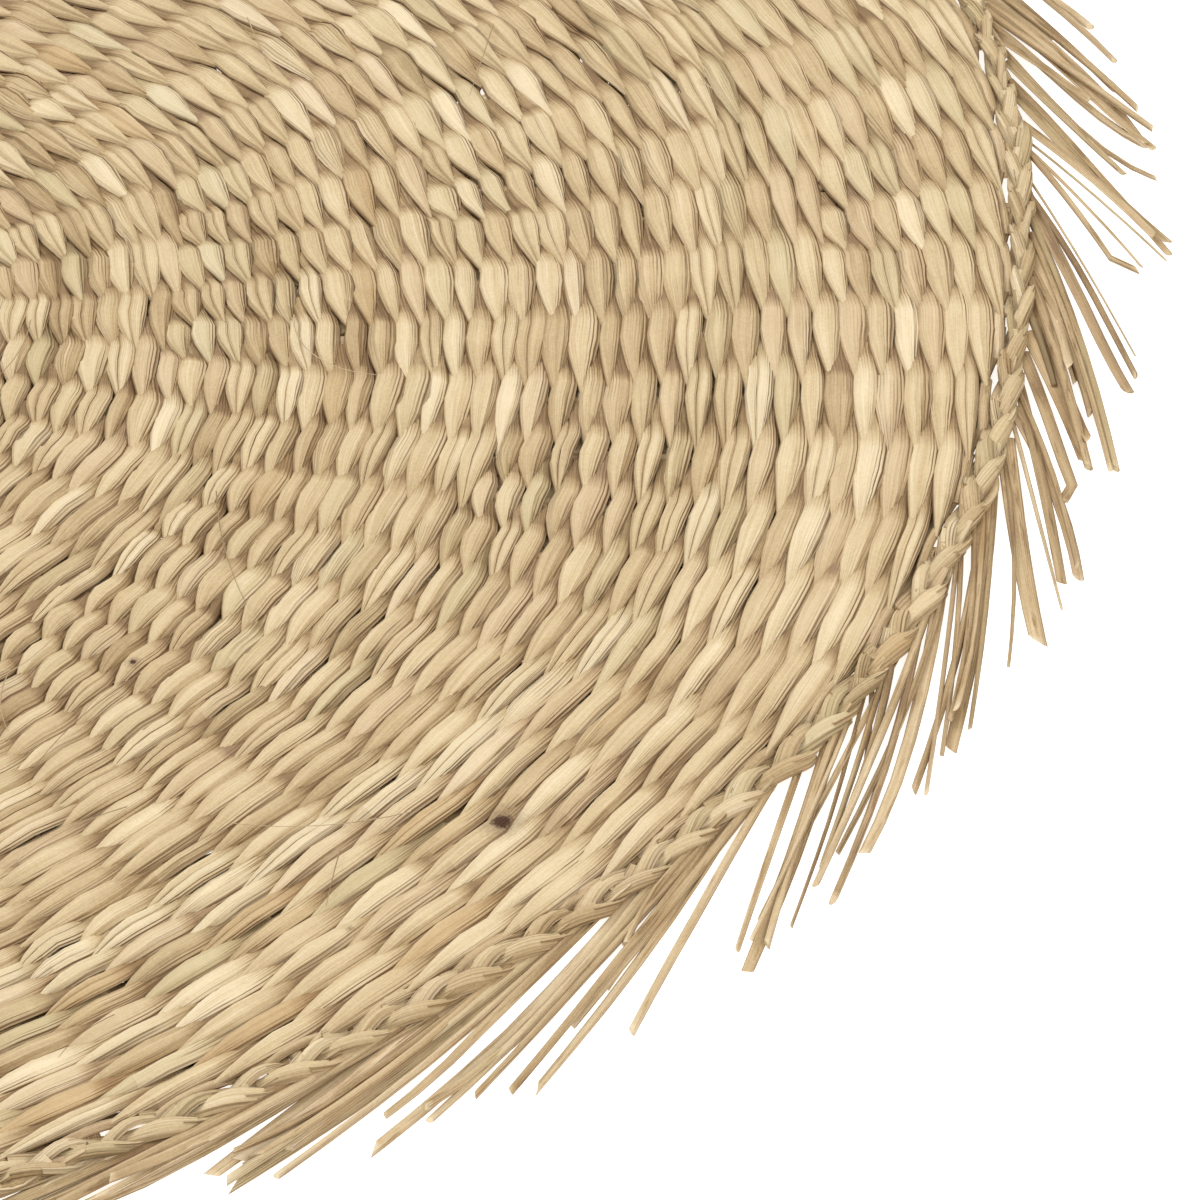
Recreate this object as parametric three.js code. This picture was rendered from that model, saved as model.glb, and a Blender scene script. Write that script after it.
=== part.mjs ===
// Round placemat twined from rush: a flat woven disc, a braided rim and a swept fringe.
// Millimetres, +Z up. The origin is the centre of the flat underside, which rests on the table.
// A bearing is an angle about +Z, counted from +X towards +Y.
import * as THREE from 'three';

// Driving dimensions
const rimRadius = 185; // middle of the braid where the mat is at its nominal size
const clearance = 0.3; // between the disc, the braid and the strip that holds the fringe
const fieldThickness = 4;
const ribDepth = 0.6; // a spoke's ridge over the furrow beside it
const edgeDrop = 1.2; // the last woven row is lower than the field
const edgeRound = 2.4; // width of the last woven row's rounded shoulder
const spokeLean = 6.8; // degrees that the spokes lean off the radius
const braidWidth = 5.8;
const braidHeight = 4;
const braidBumps = 135; // strand crossings along each side of the braid
const stripWidth = 1.4;
const stripHeight = 1.8;
const strandCount = 200;
const strandHeight = 1.4; // at the root
const strandTipHeight = 0.7;

// Walks once round the mat. reach is the radius at the middle of the braid, fringe is how far the
// tips stand out from the braid, and lean is the strands' angle off the rim in degrees.
const roundTheMat = [
  { bearing: -180, reach: 185.0, fringe: 15, lean: 20 },
  { bearing: -150, reach: 186.2, fringe: 15, lean: 22 },
  { bearing: -120, reach: 185.4, fringe: 16, lean: 21 },
  { bearing: -95, reach: 184.2, fringe: 14, lean: 19 },
  { bearing: -75, reach: 183.3, fringe: 12, lean: 16 },
  { bearing: -57, reach: 183.0, fringe: 11, lean: 15 },
  { bearing: -47, reach: 184.8, fringe: 14, lean: 19 },
  { bearing: -36, reach: 187.0, fringe: 18, lean: 21 },
  { bearing: -25, reach: 186.8, fringe: 17, lean: 21 },
  { bearing: -13, reach: 185.2, fringe: 16, lean: 21 },
  { bearing: -3, reach: 184.6, fringe: 16, lean: 21 },
  { bearing: 10, reach: 185.2, fringe: 15, lean: 20 },
  { bearing: 35, reach: 184.4, fringe: 15, lean: 21 },
  { bearing: 62, reach: 185.0, fringe: 15, lean: 20 },
  { bearing: 90, reach: 186.0, fringe: 17, lean: 21 },
  { bearing: 120, reach: 185.4, fringe: 15, lean: 22 },
  { bearing: 150, reach: 184.2, fringe: 14, lean: 20 },
  { bearing: 180, reach: 185.0, fringe: 15, lean: 20 },
];

// Rings of the woven disc from the edge inwards. Spokes are added as the mat grows.
const fieldRings = [
  { share: 1.0, spokes: 84 },
  { share: 0.985, spokes: 84 },
  { share: 0.86, spokes: 84 },
  { share: 0.72, spokes: 84 },
  { share: 0.58, spokes: 84 },
  { share: 0.5, spokes: 42 },
  { share: 0.4, spokes: 42 },
  { share: 0.3, spokes: 42 },
  { share: 0.24, spokes: 21 },
  { share: 0.16, spokes: 21 },
  { share: 0.1, spokes: 21 },
  { share: 0.05, spokes: 21 },
];

const fullTurn = 2 * Math.PI;
const radians = THREE.MathUtils.degToRad;

// A column of the table above at any bearing, eased between its rows.
function around(bearing, column) {
  const degrees = THREE.MathUtils.euclideanModulo(THREE.MathUtils.radToDeg(bearing) + 180, 360) - 180;
  const next = roundTheMat.findIndex((row) => row.bearing > degrees);
  const low = roundTheMat[next - 1];
  const high = roundTheMat[next];
  const along = (degrees - low.bearing) / (high.bearing - low.bearing);
  const eased = (1 - Math.cos(Math.PI * along)) / 2;
  return THREE.MathUtils.lerp(low[column], high[column], eased);
}

// A repeatable spread between -1 and 1, different for each strand.
function scatter(index, salt) {
  return 2 * THREE.MathUtils.euclideanModulo(Math.sin(index * 12.9898 + salt * 78.233) * 43758.5453, 1) - 1;
}

// Collects the corners and faces of one closed body.
class Body {
  constructor() {
    this.corners = [];
    this.faces = [];
  }

  // A corner at a bearing and a distance from the middle of the braid, which follows the outline.
  corner(bearing, fromBraid, height) {
    const radius = around(bearing, 'reach') + fromBraid;
    return this.point(bearing, radius, height);
  }

  point(bearing, radius, height) {
    this.corners.push(radius * Math.cos(bearing), radius * Math.sin(bearing), height);
    return this.corners.length / 3 - 1;
  }

  triangle(a, b, c) {
    this.faces.push(a, b, c);
  }

  quad(a, b, c, d) {
    this.triangle(a, b, c);
    this.triangle(a, c, d);
  }

  mesh(name, colour, roughness) {
    const geometry = new THREE.BufferGeometry();
    geometry.setAttribute('position', new THREE.Float32BufferAttribute(this.corners, 3));
    geometry.setIndex(this.faces);
    geometry.computeVertexNormals();
    const material = new THREE.MeshStandardMaterial({ color: colour, roughness, metalness: 0 });
    const result = new THREE.Mesh(geometry, material);
    result.name = name;
    return result;
  }
}

// Bearing of a spoke at a share of the radius: the spokes wind slowly as they go out.
function leaning(bearing, share) {
  return bearing + Math.tan(radians(spokeLean)) * Math.log(share);
}

// The woven disc: flat below, with a ridge over each spoke and a furrow between spokes above.
function wovenField() {
  const body = new Body();
  const edge = -braidWidth / 2 - clearance;
  const rings = fieldRings.map(({ share, spokes }) => {
    const ring = [];
    const fromEdge = rimRadius * (1 - share);
    const drop = edgeDrop * Math.max(0, 1 - fromEdge / edgeRound);
    for (let half = 0; half < 2 * spokes; half += 1) {
      const bearing = leaning((half * fullTurn) / (2 * spokes), share);
      const radius = (around(bearing, 'reach') + edge) * share;
      const furrow = half % 2 === 0 ? 0 : ribDepth;
      ring.push(body.point(bearing, radius, fieldThickness - furrow - drop));
    }
    return ring;
  });

  for (let level = 0; level + 1 < rings.length; level += 1) {
    joinRings(body, rings[level], rings[level + 1]);
  }
  const innermost = rings[rings.length - 1];
  const crown = body.point(0, 0, fieldThickness);
  innermost.forEach((corner, index) => {
    body.triangle(crown, corner, innermost[(index + 1) % innermost.length]);
  });

  // The upright edge and the flat underside
  const rim = rings[0];
  const foot = rim.map((corner) => {
    body.corners.push(body.corners[3 * corner], body.corners[3 * corner + 1], 0);
    return body.corners.length / 3 - 1;
  });
  const heel = body.point(0, 0, 0);
  rim.forEach((corner, index) => {
    const after = (index + 1) % rim.length;
    body.quad(foot[index], foot[after], rim[after], corner);
    body.triangle(heel, foot[after], foot[index]);
  });
  return body.mesh('woven_field', 0xd2bd8f, 0.72);
}

// Faces between two rings. Where the inner ring has half as many spokes, each of its steps takes
// two steps of the outer one.
function joinRings(body, outer, inner) {
  const steps = outer.length / inner.length;
  inner.forEach((corner, index) => {
    const after = inner[(index + 1) % inner.length];
    const first = outer[index * steps];
    const last = outer[((index + 1) * steps) % outer.length];
    if (steps === 1) {
      body.quad(corner, first, last, after);
      return;
    }
    const middle = outer[index * steps + 1];
    body.triangle(corner, first, middle);
    body.triangle(corner, middle, after);
    body.triangle(middle, last, after);
  });
}

// The plait round the edge: its crest swings from side to side, with a bump at each crossing.
function braidedRim() {
  const body = new Body();
  const half = braidWidth / 2;
  const stations = 2 * braidBumps;
  const pinch = 0.7; // how far a side draws in between its bumps
  const swing = 0.9; // how far the crest moves off the middle
  const dip = 0.7; // how much lower a shoulder lies between its bumps
  const shoulder = 0.62 * braidHeight;
  const sections = [];
  for (let station = 0; station < stations; station += 1) {
    const bearing = (station * fullTurn) / stations;
    const outward = station % 2 === 0;
    const inner = -half + (outward ? pinch : 0);
    const outer = half - (outward ? 0 : pinch);
    sections.push([
      body.corner(bearing, inner, 0),
      body.corner(bearing, outer, 0),
      body.corner(bearing, outer, shoulder - (outward ? 0 : dip)),
      body.corner(bearing, outward ? swing : -swing, braidHeight),
      body.corner(bearing, inner, shoulder - (outward ? dip : 0)),
    ]);
  }
  sections.forEach((section, index) => {
    const following = sections[(index + 1) % stations];
    section.forEach((corner, side) => {
      const next = (side + 1) % section.length;
      body.quad(corner, following[side], following[next], section[next]);
    });
  });
  return body.mesh('braided_rim', 0xcbb486, 0.7);
}

// The spoke ends: each grows out of the strip's outer wall, runs back against the bearing at the
// local lean, lies level on the table and ends in a slanted cut.
function fringe() {
  const body = new Body();
  const inside = braidWidth / 2 + clearance;
  const outside = inside + stripWidth;
  const pitch = fullTurn / strandCount;
  const rootShare = 0.6; // of the pitch, along the strip
  const middleShare = 0.56;
  const tipShare = 0.24;
  const bend = 0.5; // where along a strand its middle section lies
  const lengthSpread = 0.3;
  const leanSpread = 0.5; // degrees
  const stripCorners = (bearing, wallHeight) => [
    body.corner(bearing, inside, 0),
    body.corner(bearing, outside, 0),
    body.corner(bearing, outside, wallHeight),
    body.corner(bearing, inside, stripHeight),
  ];

  // Four corners across a strand at one distance from the strip
  const strandSection = (root, lean, distance, share, height) => {
    const radius = around(root, 'reach') + outside + distance;
    const centre = root - distance / Math.tan(lean) / radius;
    const halfWidth = (share * pitch) / 2;
    return [
      body.point(centre - halfWidth, radius, 0),
      body.point(centre + halfWidth, radius, 0),
      body.point(centre + halfWidth, radius, height),
      body.point(centre - halfWidth, radius, height),
    ];
  };

  const marks = [];
  for (let strand = 0; strand < strandCount; strand += 1) {
    const root = strand * pitch;
    marks.push(stripCorners(root - (rootShare * pitch) / 2, strandHeight));
    marks.push(stripCorners(root + (rootShare * pitch) / 2, strandHeight));
  }
  marks.forEach((mark, index) => {
    const following = marks[(index + 1) % marks.length];
    body.quad(mark[0], following[0], following[1], mark[1]);
    body.quad(mark[2], following[2], following[3], mark[3]);
    body.quad(mark[3], following[3], following[0], mark[0]);
    const betweenStrands = index % 2 === 1;
    if (betweenStrands) {
      body.quad(mark[1], following[1], following[2], mark[2]);
    }
  });

  for (let strand = 0; strand < strandCount; strand += 1) {
    const root = strand * pitch;
    const before = marks[2 * strand];
    const after = marks[2 * strand + 1];
    const lean = radians(around(root, 'lean') + leanSpread * scatter(strand, 1));
    const standOut = around(root, 'fringe') * (1 + lengthSpread * (scatter(strand, 2) - 0.5)) - stripWidth;
    const middleHeight = THREE.MathUtils.lerp(strandHeight, strandTipHeight, bend);
    const sections = [
      [before[1], after[1], after[2], before[2]],
      strandSection(root, lean, bend * standOut, middleShare, middleHeight),
      strandSection(root, lean, standOut, tipShare, strandTipHeight),
    ];
    for (let level = 0; level + 1 < sections.length; level += 1) {
      const near = sections[level];
      const far = sections[level + 1];
      for (let side = 0; side < near.length; side += 1) {
        const next = (side + 1) % near.length;
        body.quad(near[side], near[next], far[next], far[side]);
      }
    }
    const tip = sections[sections.length - 1];
    body.quad(tip[0], tip[1], tip[2], tip[3]);
  }
  return body.mesh('fringe', 0xccb484, 0.75);
}

const placemat = new THREE.Group();
placemat.add(wovenField(), braidedRim(), fringe());

export default placemat;
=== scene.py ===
# A round placemat twined from rush leaves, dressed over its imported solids. Metres, +Z up.
import math

import bpy
import numpy as np
from mathutils import Matrix, Vector


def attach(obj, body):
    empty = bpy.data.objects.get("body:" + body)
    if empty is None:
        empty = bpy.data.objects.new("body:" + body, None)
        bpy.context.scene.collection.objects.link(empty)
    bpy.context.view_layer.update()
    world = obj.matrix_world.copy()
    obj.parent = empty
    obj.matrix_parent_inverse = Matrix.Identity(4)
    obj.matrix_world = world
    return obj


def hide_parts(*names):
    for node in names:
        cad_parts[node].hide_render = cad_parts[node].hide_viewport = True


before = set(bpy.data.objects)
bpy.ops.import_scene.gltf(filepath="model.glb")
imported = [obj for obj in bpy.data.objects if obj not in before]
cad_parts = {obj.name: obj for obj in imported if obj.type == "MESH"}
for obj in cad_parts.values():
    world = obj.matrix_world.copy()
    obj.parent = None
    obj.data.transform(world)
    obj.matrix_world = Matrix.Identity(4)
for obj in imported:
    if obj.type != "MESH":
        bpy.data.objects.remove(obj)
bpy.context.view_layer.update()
mm = 0.001
rng = np.random.default_rng(11)

# The mat's own sizes. A bearing is an angle about +Z from +X, and clockwise means seen from above.
matShape = {
    "rimRadius": 185 * mm,  # middle of the braid
    "rowPitch": 3.4 * mm,
    "lastRow": 4.7 * mm,  # middle of the last row, inside the middle of the braid
    "firstRow": 2.1 * mm,  # radius of the first row
    "midHeight": 2.05 * mm,  # height of the spokes above the table
    "spokeLean": 6.8,  # degrees off the radius
}

# Walks round the mat: the braid's radius, how far the fringe stands out, its lean off the rim and width.
roundTheMat = [
    {"bearing": -180, "reach": 185.0, "fringe": 16, "lean": 18, "broad": 1.0},
    {"bearing": -150, "reach": 186.2, "fringe": 16, "lean": 20, "broad": 1.0},
    {"bearing": -120, "reach": 185.4, "fringe": 17, "lean": 19, "broad": 1.1},
    {"bearing": -95, "reach": 184.2, "fringe": 14, "lean": 15, "broad": 1.1},
    {"bearing": -78, "reach": 183.3, "fringe": 10, "lean": 9, "broad": 1.1},
    {"bearing": -57, "reach": 183.0, "fringe": 10, "lean": 9, "broad": 1.15},
    {"bearing": -47, "reach": 184.8, "fringe": 15, "lean": 15, "broad": 0.9},
    {"bearing": -36, "reach": 187.0, "fringe": 19, "lean": 17, "broad": 0.8},
    {"bearing": -25, "reach": 186.8, "fringe": 18, "lean": 18, "broad": 0.85},
    {"bearing": -13, "reach": 185.2, "fringe": 17, "lean": 21, "broad": 0.8},
    {"bearing": -3, "reach": 184.6, "fringe": 18, "lean": 24, "broad": 0.9},
    {"bearing": 10, "reach": 185.2, "fringe": 17, "lean": 23, "broad": 0.9},
    {"bearing": 35, "reach": 184.4, "fringe": 16, "lean": 20, "broad": 1.0},
    {"bearing": 62, "reach": 185.0, "fringe": 16, "lean": 18, "broad": 1.0},
    {"bearing": 90, "reach": 186.0, "fringe": 18, "lean": 19, "broad": 1.2},
    {"bearing": 120, "reach": 185.4, "fringe": 16, "lean": 20, "broad": 1.0},
    {"bearing": 150, "reach": 184.2, "fringe": 15, "lean": 18, "broad": 1.1},
    {"bearing": 180, "reach": 185.0, "fringe": 16, "lean": 18, "broad": 1.0},
]


def around(bearing, column):
    # a column of the table above at any bearing in radians, eased between its rows
    degrees = (np.degrees(bearing) + 180) % 360 - 180
    marks = np.array([row["bearing"] for row in roundTheMat], float)
    values = np.array([row[column] for row in roundTheMat], float)
    low = np.clip(np.searchsorted(marks, degrees, side="right") - 1, 0, len(marks) - 2)
    along = (degrees - marks[low]) / (marks[low + 1] - marks[low])
    eased = (1 - np.cos(np.pi * along)) / 2
    return values[low] + (values[low + 1] - values[low]) * eased


# The braid is pulled tighter on the +X side, between two bearings in degrees
braidPull = {"share": 0.26, "first": -22, "easeIn": 8, "last": 24, "easeOut": 12}


def braidScale(bearing):
    degrees = (np.degrees(bearing) + 180) % 360 - 180
    entering = np.clip((degrees - braidPull["first"]) / braidPull["easeIn"], 0, 1)
    leaving = np.clip((braidPull["last"] - degrees) / braidPull["easeOut"], 0, 1)
    return 1 - braidPull["share"] * entering * leaving


def rimReach(bearing):
    return around(bearing, "reach") * mm


# Camera: looks down at the lower right of the mat, as the picture does
print("camera")
cameraSet = {
    "aim": (122.7 * mm, -82.3 * mm, 0.0),  # where the middle of the picture meets the table
    "away": 1148 * mm,
    "elevation": 40.7,
    "roll": -6.2,
    "lens": 270,
}
bpy.ops.object.camera_add()
camera = bpy.context.object
camera.name = "camera"
down = math.radians(90 - cameraSet["elevation"])
turn = Matrix.Rotation(down, 3, "X") @ Matrix.Rotation(math.radians(cameraSet["roll"]), 3, "Z")
camera.rotation_euler = turn.to_euler()
camera.location = Vector(cameraSet["aim"]) + turn @ Vector((0, 0, cameraSet["away"]))
camera.data.lens = cameraSet["lens"]
camera.data.sensor_width = 36
camera.data.clip_start = 0.01
bpy.context.scene.camera = camera


# Floor and soft studio light
print("stage and light")
stageSet = {
    "floorSize": 8.0,
    "floorColour": (0.75, 0.75, 0.75, 1),
    "floorGlow": 0.75,
    "ambient": 0.92,
    "keyPlace": (-1.6, 2.2, 3.2),
    "keySize": 2.0,
    "keyPower": 78,
    "fillPlace": (1.1, -0.9, 1.3),
    "fillSize": 1.4,
    "fillPower": 12,
    "lampAim": (0.08, -0.06, 0),
}


def softBox(name, place, size, power):
    bpy.ops.object.light_add(type="AREA", location=place)
    lamp = bpy.context.object
    lamp.name = name
    lamp.data.shape = "DISK"
    lamp.data.size = size
    lamp.data.energy = power
    lamp.rotation_euler = (Vector(stageSet["lampAim"]) - Vector(place)).to_track_quat("-Z", "Y").to_euler()
    return lamp


bpy.ops.mesh.primitive_plane_add(size=stageSet["floorSize"], location=(0, 0, -0.0002))
floor = bpy.context.object
floor.name = "floor"
floorFinish = bpy.data.materials.new("paleFloor")
floorFinish.use_nodes = True
floorShader = floorFinish.node_tree.nodes["Principled BSDF"]
floorShader.inputs["Base Color"].default_value = stageSet["floorColour"]
floorShader.inputs["Roughness"].default_value = 0.9
floorShader.inputs["Emission Color"].default_value = (1, 1, 1, 1)
floorShader.inputs["Emission Strength"].default_value = stageSet["floorGlow"]
floor.data.materials.append(floorFinish)
softBox("keyLight", stageSet["keyPlace"], stageSet["keySize"], stageSet["keyPower"])
softBox("fillLight", stageSet["fillPlace"], stageSet["fillSize"], stageSet["fillPower"])
sky = bpy.data.worlds.new("studio")
sky.use_nodes = True
sky.node_tree.nodes["Background"].inputs["Color"].default_value = (1, 1, 1, 1)
sky.node_tree.nodes["Background"].inputs["Strength"].default_value = stageSet["ambient"]
bpy.context.scene.world = sky
bpy.context.scene.view_settings.view_transform = "Standard"


# Finishes
print("finishes")


def newFinish(name):
    finish = bpy.data.materials.new(name)
    finish.use_nodes = True
    tree = finish.node_tree
    return finish, tree, tree.nodes["Principled BSDF"]


def noise(tree, vector, scale, detail, roughness=0.5):
    node = tree.nodes.new("ShaderNodeTexNoise")
    node.inputs["Scale"].default_value = scale
    node.inputs["Detail"].default_value = detail
    node.inputs["Roughness"].default_value = roughness
    tree.links.new(vector, node.inputs["Vector"])
    return node.outputs["Fac"]


def sums(tree, operation, first, second=None, third=None):
    node = tree.nodes.new("ShaderNodeMath")
    node.operation = operation
    for socket, value in zip(node.inputs, (first, second, third)):
        if value is None:
            continue
        if isinstance(value, (int, float)):
            socket.default_value = value
        else:
            tree.links.new(value, socket)
    return node.outputs[0]


def ramp(tree, factor, stops):
    node = tree.nodes.new("ShaderNodeValToRGB")
    marks = node.color_ramp.elements
    while len(marks) < len(stops):
        marks.new(0.5)
    for mark, (place, colour) in zip(marks, stops):
        mark.position = place
        mark.color = (*colour, 1)
    tree.links.new(factor, node.inputs["Fac"])
    return node.outputs["Color"]


def blend(tree, factor, first, second, way="MIX"):
    node = tree.nodes.new("ShaderNodeMix")
    node.data_type = "RGBA"
    node.blend_type = way
    for socket, value in ((node.inputs[0], factor), (node.inputs[6], first), (node.inputs[7], second)):
        if isinstance(value, (int, float)):
            socket.default_value = value
        elif isinstance(value, tuple):
            socket.default_value = (*value, 1)
        else:
            tree.links.new(value, socket)
    return node.outputs[2]


# A rush leaf: tone, warmth and seed come from each leaf's own tint, fibres follow its own UV map.
rushLook = {
    # dark brown for the painted shade in creases and the painted shadow along leaf edges
    "line": (0.14, 0.072, 0.028),
    "dark": (0.24, 0.15, 0.07),
    "tan": (0.4, 0.276, 0.138),
    "straw": (0.56, 0.425, 0.24),
    "pale": (0.71, 0.585, 0.385),
    "pink": (0.5, 0.34, 0.235),
    "green": (0.4, 0.36, 0.19),
    "amber": (0.5, 0.29, 0.11),
    "scar": (0.05, 0.016, 0.002),
    "creases": 9.5,  # across one leaf
    "creaseWander": 4,
    # painted shade: how dark the creases are painted, as shade in their hollows
    "creaseShade": 0.85,
    # painted shadow: how dark the thin edge stripes are painted, where a leaf meets its neighbours
    "marginShade": 0.8,
    # painted shade, with some browning, on the leaf's flank turned from the light
    "flankShade": 0.1,
    "scars": 0.08,  # brown blotches
    "streaky": 0.5,  # how much each noise moves a leaf's tone
    "fibrous": 0.62,
    "patchy": 0.3,
    "mottled": 0.34,
    "markHeight": 3.8 * mm,
    "marks": [  # knots and flecks in the leaves: x, y and size in mm
        (107.7, -125.9, 1.7), (63.0, -88.6, 0.6), (126.8, -96.4, 0.4), (88.0, -142.4, 0.4),
        (41.0, -156.4, 0.4), (-70.0, 96.0, 1.3)],
    "roughness": 0.56,
    "specular": 0.25,
    "fibreBump": 0.5,
    "bumpHeight": 0.12 * mm,
}


def rushFinish(name, look):
    finish, tree, shader = newFinish(name)
    tint = tree.nodes.new("ShaderNodeAttribute")
    tint.attribute_name = "leafTint"
    parts = tree.nodes.new("ShaderNodeSeparateColor")
    tree.links.new(tint.outputs["Color"], parts.inputs["Color"])
    tone, warmth, seed = parts.outputs
    leafMap = tree.nodes.new("ShaderNodeUVMap")
    leafMap.uv_map = "leafMap"
    sides = tree.nodes.new("ShaderNodeSeparateXYZ")
    tree.links.new(leafMap.outputs["UV"], sides.inputs["Vector"])
    along, across = sides.outputs[0], sides.outputs[1]

    def leafSpace(alongScale, acrossScale, seedScale):
        node = tree.nodes.new("ShaderNodeCombineXYZ")
        tree.links.new(sums(tree, "MULTIPLY", along, alongScale), node.inputs[0])
        tree.links.new(sums(tree, "MULTIPLY", across, acrossScale), node.inputs[1])
        tree.links.new(sums(tree, "MULTIPLY", seed, seedScale), node.inputs[2])
        return node.outputs[0]

    fibres = noise(tree, leafSpace(0.8, 30, 71), 1, 3, 0.65)
    streaks = noise(tree, leafSpace(0.5, 6.5, 43), 1, 2)
    place = tree.nodes.new("ShaderNodeTexCoord").outputs["Object"]
    patches = noise(tree, place, 90, 2)
    mottle = noise(tree, place, 2300, 2, 0.7)

    # creases lie close together along the outer edge, and all over a pleated leaf; each crease is painted
    # darker, as painted shade in its hollow
    wander = noise(tree, leafSpace(0.3, 0, 91), 1, 1)
    drift = sums(tree, "MULTIPLY", wander, look["creaseWander"])
    crease = sums(tree, "ADD", sums(tree, "MULTIPLY", across, look["creases"]), drift)
    crease = sums(tree, "ABSOLUTE", sums(tree, "SUBTRACT", sums(tree, "FRACT", crease), 0.5))
    crease = ramp(tree, crease, [(0.0, (1, 1, 1)), (0.26, (0, 0, 0))])
    edge = ramp(tree, across, [(0.64, (0, 0, 0)), (0.8, (1, 1, 1))])
    faint = noise(tree, leafSpace(1.1, 2, 17), 1, 1)
    faint = ramp(tree, faint, [(0.36, (0, 0, 0)), (0.54, (1, 1, 1))])
    spread = sums(tree, "MINIMUM", sums(tree, "ADD", edge, tint.outputs["Alpha"]), 1)
    crease = sums(tree, "MULTIPLY", sums(tree, "MULTIPLY", crease, spread), faint)
    # painted shadow: thin dark stripes along the leaf's edges where it meets its neighbours, partly its own
    # browned edge
    edgeShadeLines = ramp(tree, sums(tree, "MULTIPLY_ADD", wander, 0.04, across), [
        (0.065, (1, 1, 1)), (0.095, (0, 0, 0)), (0.83, (0, 0, 0)), (0.85, (1, 1, 1)), (0.87, (0, 0, 0)),
        (0.925, (0, 0, 0)), (0.95, (1, 1, 1)), (1.0, (0.5, 0.5, 0.5))])
    # painted shade in the creases
    foldShade = sums(tree, "MULTIPLY", crease, look["creaseShade"])
    lines = sums(tree, "MULTIPLY_ADD", edgeShadeLines, look["marginShade"], foldShade)
    lines = sums(tree, "MINIMUM", lines, 1)

    # the leaf's folded flank along its outer edge, painted darker: painted shade of a face turned from the
    # light, with some browning
    flankStart = sums(tree, "MULTIPLY_ADD", sums(tree, "FRACT", sums(tree, "MULTIPLY", seed, 7.3)), 0.9, 0.52)
    flank = sums(tree, "GREATER_THAN", sums(tree, "MULTIPLY_ADD", wander, 0.12, across), flankStart)
    flankShadeAndScars = sums(tree, "MULTIPLY", flank, look["flankShade"])
    blotches = noise(tree, leafSpace(1.3, 2.2, 57), 1, 3, 0.6)
    blotches = ramp(tree, blotches, [(0.56, (0, 0, 0)), (0.7, (1, 1, 1))])
    flankShadeAndScars = sums(tree, "MULTIPLY_ADD", blotches, look["scars"], flankShadeAndScars)
    rough = sums(tree, "MULTIPLY", sums(tree, "SUBTRACT", mottle, 0.5), 1.6)
    spots = 0
    for x, y, size in look["marks"]:
        away = tree.nodes.new("ShaderNodeVectorMath")
        away.operation = "DISTANCE"
        away.inputs[1].default_value = (x * mm, y * mm, look["markHeight"])
        tree.links.new(place, away.inputs[0])
        ragged = sums(tree, "MULTIPLY", rough, 0.2)
        spot = sums(tree, "MULTIPLY_ADD", away.outputs["Value"], 0.4 / (size * mm), ragged)
        spot = ramp(tree, spot, [(0.24, (1, 1, 1)), (0.4, (0.35, 0.35, 0.35)), (0.9, (0, 0, 0))])
        spots = sums(tree, "MAXIMUM", spot, spots)

    level = sums(tree, "MULTIPLY_ADD", sums(tree, "SUBTRACT", streaks, 0.5), look["streaky"], tone)
    # painted shade on the flank and the leaf's real brown scars darken it
    level = sums(tree, "SUBTRACT", level, flankShadeAndScars)
    for weight, grain in {"fibrous": fibres, "patchy": patches, "mottled": mottle}.items():
        level = sums(tree, "MULTIPLY_ADD", sums(tree, "SUBTRACT", grain, 0.5), look[weight], level)
    colour = ramp(tree, level, [
        (0.02, look["dark"]), (0.28, look["tan"]), (0.58, look["straw"]), (0.92, look["pale"])])
    pinkness = ramp(tree, warmth, [(0.84, (0, 0, 0)), (1.0, (0.18, 0.18, 0.18))])
    colour = blend(tree, pinkness, colour, look["pink"])
    greenness = ramp(tree, warmth, [(0.0, (0.28, 0.28, 0.28)), (0.26, (0, 0, 0))])
    colour = blend(tree, greenness, colour, look["green"])
    amberness = ramp(tree, warmth, [(0.485, (0, 0, 0)), (0.5, (0.25, 0.25, 0.25)), (0.515, (0, 0, 0))])
    colour = blend(tree, amberness, colour, look["amber"])
    # painted shade and shadow: crease and edge stripes blended towards dark brown
    colour = blend(tree, lines, colour, look["line"])
    colour = blend(tree, spots, colour, look["scar"])
    tree.links.new(colour, shader.inputs["Base Color"])
    shader.inputs["Roughness"].default_value = look["roughness"]
    shader.inputs["Specular IOR Level"].default_value = look["specular"]

    bump = tree.nodes.new("ShaderNodeBump")
    bump.inputs["Strength"].default_value = look["fibreBump"]
    bump.inputs["Distance"].default_value = look["bumpHeight"]
    relief = sums(tree, "SUBTRACT", sums(tree, "ADD", fibres, streaks), sums(tree, "MULTIPLY", crease, 1.2))
    tree.links.new(relief, bump.inputs["Height"])
    tree.links.new(bump.outputs["Normal"], shader.inputs["Normal"])
    return finish


leafFinish = rushFinish("rushLeaf", rushLook)
# the braid and the stalks get fainter painted shade in their creases and along their edges
braidFinish = rushFinish("rushBraid", {**rushLook, "creaseShade": 0.5, "marginShade": 0.45, "creases": 6})
stalkFinish = rushFinish("rushStalk", {
    **rushLook, "straw": (0.55, 0.405, 0.23), "creaseShade": 0.6, "marginShade": 0.5, "scars": 0.42})


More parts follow.
